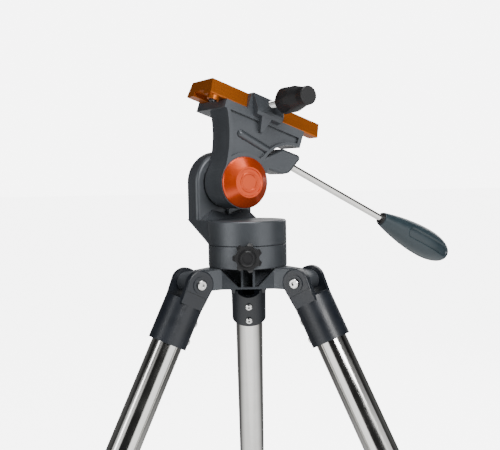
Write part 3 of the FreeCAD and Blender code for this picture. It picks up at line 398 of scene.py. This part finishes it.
def make_world():
    """Plain white for the camera. Reflections see bands by direction, and soft light is dimmer."""
    world = bpy.data.worlds.new("studio")
    bpy.context.scene.world = world
    world.use_nodes = True
    tree = world.node_tree
    tree.nodes.clear()
    way = tree.nodes.new("ShaderNodeTexCoord")
    parts = tree.nodes.new("ShaderNodeSeparateXYZ")
    shift = map_range(tree, -1.0, 1.0, 0.0, 1.0)
    ramp = tree.nodes.new("ShaderNodeValToRGB")
    ramp.color_ramp.interpolation = "EASE"
    elements = ramp.color_ramp.elements
    while len(elements) < len(WORLD_BANDS):
        elements.new(0.5)
    for element, (position, shade) in zip(elements, WORLD_BANDS):
        element.position = position
        element.color = (shade, shade, shade, 1)
    below = map_range(tree, *BRIGHT_BELOW)
    above = map_range(tree, *DARK_ABOVE)
    darker = tree.nodes.new("ShaderNodeMath")
    darker.operation = "MULTIPLY"
    brighter = tree.nodes.new("ShaderNodeMath")
    brighter.operation = "MAXIMUM"
    path = tree.nodes.new("ShaderNodeLightPath")
    power = map_range(tree, 0.0, 1.0, REFLECTED_GLOW, SOFT_GLOW)
    lit = tree.nodes.new("ShaderNodeBackground")
    seen = tree.nodes.new("ShaderNodeBackground")
    seen.inputs["Color"].default_value = (1, 1, 1, 1)
    seen.inputs["Strength"].default_value = BACKDROP_GLOW
    mix = tree.nodes.new("ShaderNodeMixShader")
    out = tree.nodes.new("ShaderNodeOutputWorld")
    for source, target in (
            (way.outputs["Generated"], parts.inputs["Vector"]), (parts.outputs["Y"], shift.inputs["Value"]),
            (shift.outputs["Result"], ramp.inputs["Fac"]), (parts.outputs["Z"], below.inputs["Value"]),
            (parts.outputs["Z"], above.inputs["Value"]),
            (ramp.outputs["Color"], darker.inputs[0]), (above.outputs["Result"], darker.inputs[1]),
            (darker.outputs["Value"], brighter.inputs[0]), (below.outputs["Result"], brighter.inputs[1]),
            (brighter.outputs["Value"], lit.inputs["Color"]),
            (path.outputs["Is Diffuse Ray"], power.inputs["Value"]),
            (power.outputs["Result"], lit.inputs["Strength"]),
            (path.outputs["Is Camera Ray"], mix.inputs["Fac"]), (lit.outputs["Background"], mix.inputs[1]),
            (seen.outputs["Background"], mix.inputs[2]), (mix.outputs["Shader"], out.inputs["Surface"])):
        tree.links.new(source, target)


def make_floor():
    """Pale glowing sheet with a painted contact shadow near what stands on it, which neither lights the
    object nor shows in its bright metal.
    """
    nodes = Nodes("floor_paint")
    # Ambient occlusion paints a contact shadow into the floor's glow near what stands on it
    near = nodes.add("ShaderNodeAmbientOcclusion", {"Distance": CONTACT_REACH}, samples=16)
    patches = nodes.noise(0.7, 2.0)
    glow = nodes.between(near.outputs["AO"], CONTACT_SHADE * FLOOR_GLOW, FLOOR_GLOW, start=0.2, end=0.95)
    nodes.set(
        Base_Color=nodes.ramp(patches, (0.3, (0.88, 0.88, 0.88)), (0.7, (0.92, 0.92, 0.92))),
        Roughness=0.8, Emission_Color=(1, 1, 1, 1), Emission_Strength=glow)
    floor = flat_panel("floor", FLOOR_SIZE, FLOOR_SIZE, Matrix.Identity(4), nodes.material)
    floor.visible_diffuse = False
    floor.visible_glossy = False
    floor.visible_shadow = False


# Shade in reflections, from -Y at 0 to +Y at 1
WORLD_BANDS = ((0.0, 0.02), (0.05, 0.02), (0.10, 2.2), (0.33, 2.0), (0.42, 0.06), (0.66, 0.10), (0.93, 0.14),
               (1.0, 1.6))
# From low, from high, to low, to high, by how far a reflection points up or down
BRIGHT_BELOW, DARK_ABOVE = (-0.80, -0.45, 1.5, 0.0), (0.22, 0.40, 1.0, 0.06)
REFLECTED_GLOW, SOFT_GLOW = 0.9, 0.28
BACKDROP_GLOW, FLOOR_GLOW, FLOOR_SIZE = 6.6, 6.0, 60.0
# Painted contact shadow: the floor's glow darkens to this share of itself near what stands on it, within
# this many metres
CONTACT_SHADE, CONTACT_REACH = 0.35, 0.09
make_world()
make_floor()
AIM = (0, 0, PIVOT_HEIGHT + 0.04)
softbox("key", (0.75, -1.55, 1.45), AIM, width=0.8, height=0.8, power=30)
softbox("fill", (-1.60, -1.20, 1.00), AIM, width=0.3, height=1.3, power=7)
softbox("top", (0.1, -0.15, 2.2), AIM, width=1.2, height=0.8, power=20)
softbox("back", (0.9, 1.7, 1.2), AIM, width=1.2, height=1.0, power=10)


# ---------------------------------------------------------------- camera

# Millimetres, then degrees
SENSOR_WIDTH, LENS, LOOK_DOWN, ROLL = 36, 55.8, 3.63, 1.11
CAMERA_PLACE = (0.00314, -0.81964, PIVOT_HEIGHT + 0.10809)
camera_data = bpy.data.cameras.new("camera")
camera_data.sensor_width = SENSOR_WIDTH
camera_data.lens = LENS
camera = bpy.data.objects.new("camera", camera_data)
camera.matrix_world = (Matrix.Translation(CAMERA_PLACE)
                       @ turned("X", 90 - LOOK_DOWN) @ turned("Z", -ROLL))
bpy.context.scene.collection.objects.link(camera)
bpy.context.scene.camera = camera
